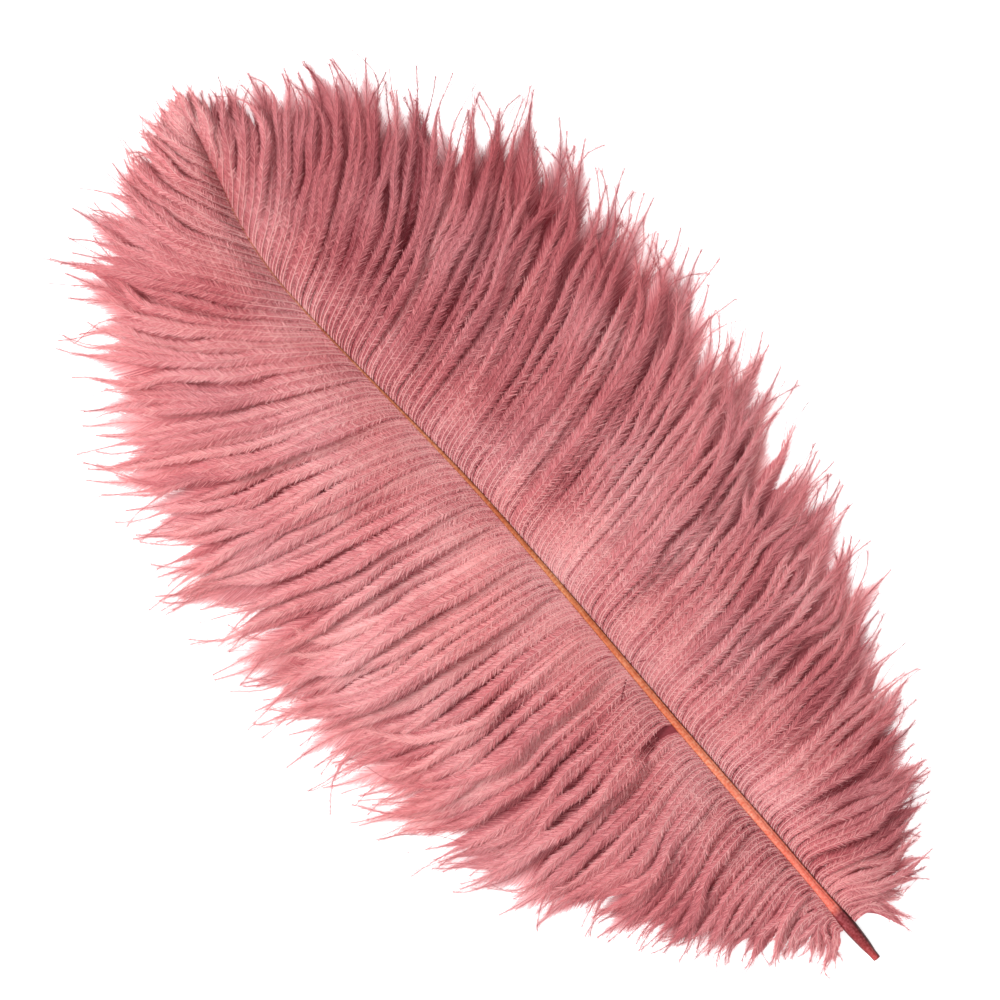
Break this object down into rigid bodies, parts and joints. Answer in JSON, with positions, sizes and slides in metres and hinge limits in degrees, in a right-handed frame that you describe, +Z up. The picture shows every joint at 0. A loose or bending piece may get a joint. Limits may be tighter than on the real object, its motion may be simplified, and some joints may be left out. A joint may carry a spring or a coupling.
{
  "type": "ostrich feather",
  "caption": "Loose dyed ostrich feather lying flat: a curved tapering shaft with broad, soft, fringed vanes that end in tufts all round.",
  "frame": {"origin": "on the flat underside of the shaft, half way along the feather", "axes": "+Y from the quill to the tip, +Z up out of the surface it lies on, +X to the right of the shaft seen from above"},
  "size_m": [0.2213, 0.3882, 0.0106],
  "materials": {
    "barbs": "dyed dusty rose barbs, soft and matte",
    "shaft": "dyed keratin, satin"
  },
  "bodies": {
    "root": {"feather": "barbs"}
  },
  "joints": []
}
